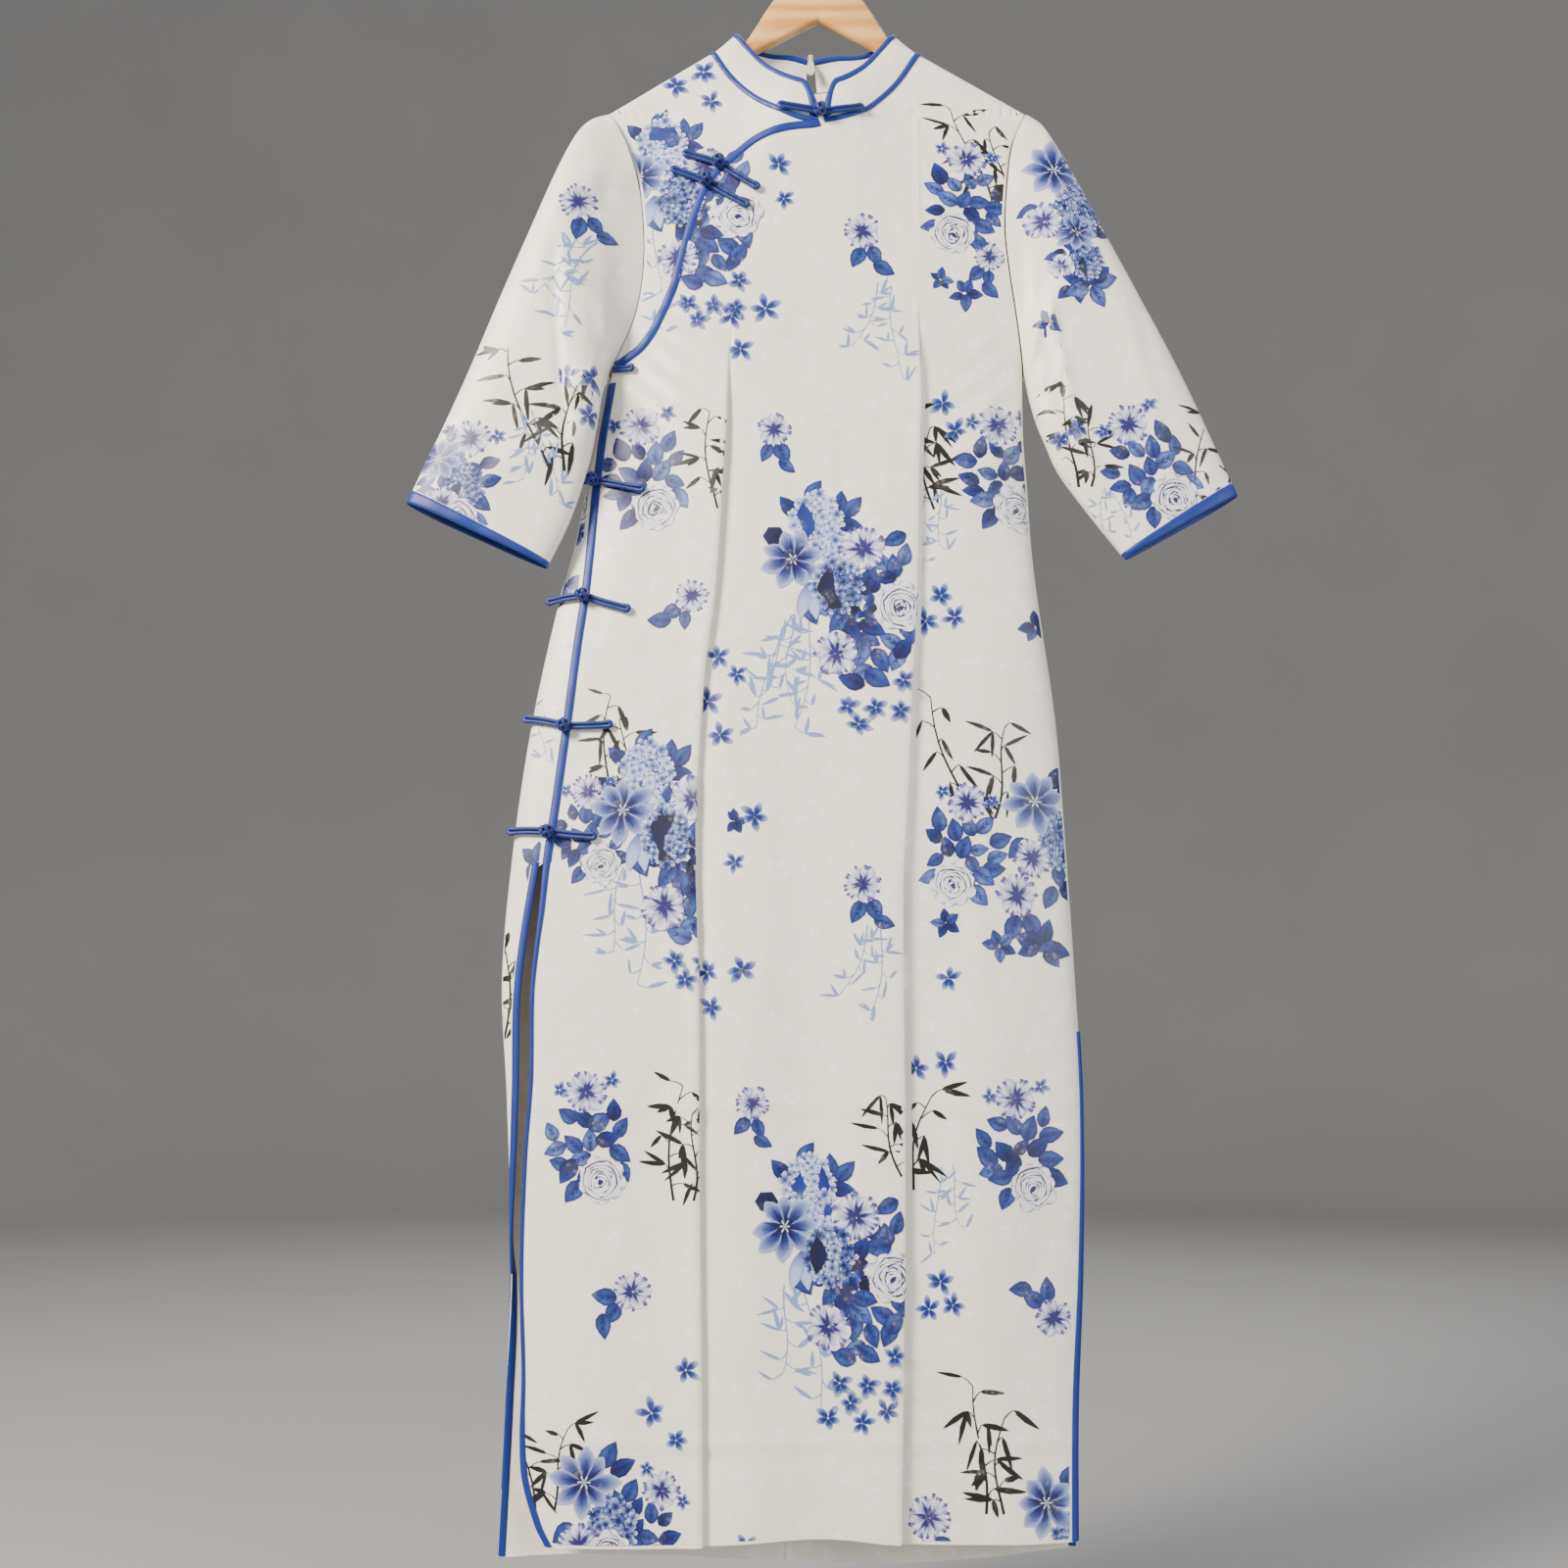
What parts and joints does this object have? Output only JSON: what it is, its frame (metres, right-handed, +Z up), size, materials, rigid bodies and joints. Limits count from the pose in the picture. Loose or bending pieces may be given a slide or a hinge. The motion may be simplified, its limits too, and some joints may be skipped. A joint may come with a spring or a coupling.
{
  "type": "cheongsam dress on hanger",
  "caption": "Floral satin cheongsam with stand collar, three-quarter sleeves, piped side opening, side slits and a back zip, hanging on a wooden hanger.",
  "frame": {"origin": "centre of the hook bow, where the hanger hangs on a rail", "axes": "+Z up along the length of the dress, -Y out of the front, +X to the left of the wearer"},
  "size_m": [0.7912, 0.0765, 1.6232],
  "materials": {
    "printed_satin": "satin",
    "blue_satin": "satin",
    "pale_wood": "satin",
    "hook_wire": "polished",
    "zip_metal": "gloss"
  },
  "bodies": {
    "garment": {"back_left": "printed_satin", "back_right": "printed_satin", "collar_binding_left": "blue_satin", "collar_binding_right": "blue_satin", "collar_left": "printed_satin", "collar_right": "printed_satin", "frog_1_knot": "blue_satin", "frog_1_loop": "blue_satin", "frog_2_knot": "blue_satin", "frog_2_loop": "blue_satin", "frog_3_knot": "blue_satin", "frog_3_loop": "blue_satin", "frog_4_loop": "blue_satin", "frog_5_knot": "blue_satin", "frog_5_loop": "blue_satin", "frog_6_knot": "blue_satin", "frog_6_loop": "blue_satin", "frog_7_knot": "blue_satin", "frog_7_loop": "blue_satin", "frog_8_knot": "blue_satin", "frog_8_loop": "blue_satin", "front_overlap": "printed_satin", "front_panel": "printed_satin", "hanger": "pale_wood", "hanger_hook": "hook_wire", "neck_piping_left": "blue_satin", "neck_piping_right": "blue_satin", "opening_piping": "blue_satin", "side_piping": "blue_satin", "sleeve_binding_left": "blue_satin", "sleeve_binding_right": "blue_satin", "sleeve_left": "printed_satin", "sleeve_right": "printed_satin", "slit_binding_back_left": "blue_satin", "slit_binding_back_right": "blue_satin", "slit_binding_front_left": "blue_satin", "slit_binding_front_right": "blue_satin", "zip_slider": "zip_metal"},
    "zip_pull": {"zip_pull": "zip_metal"}
  },
  "joints": [
    {"name": "zip_pull_hinge", "type": "hinge", "parent": "garment", "child": "zip_pull", "pos_m": [-0.0075, 0.01123, -0.17746], "axis": [-1, 0, 0], "range_deg": [0, 290]}
  ]
}
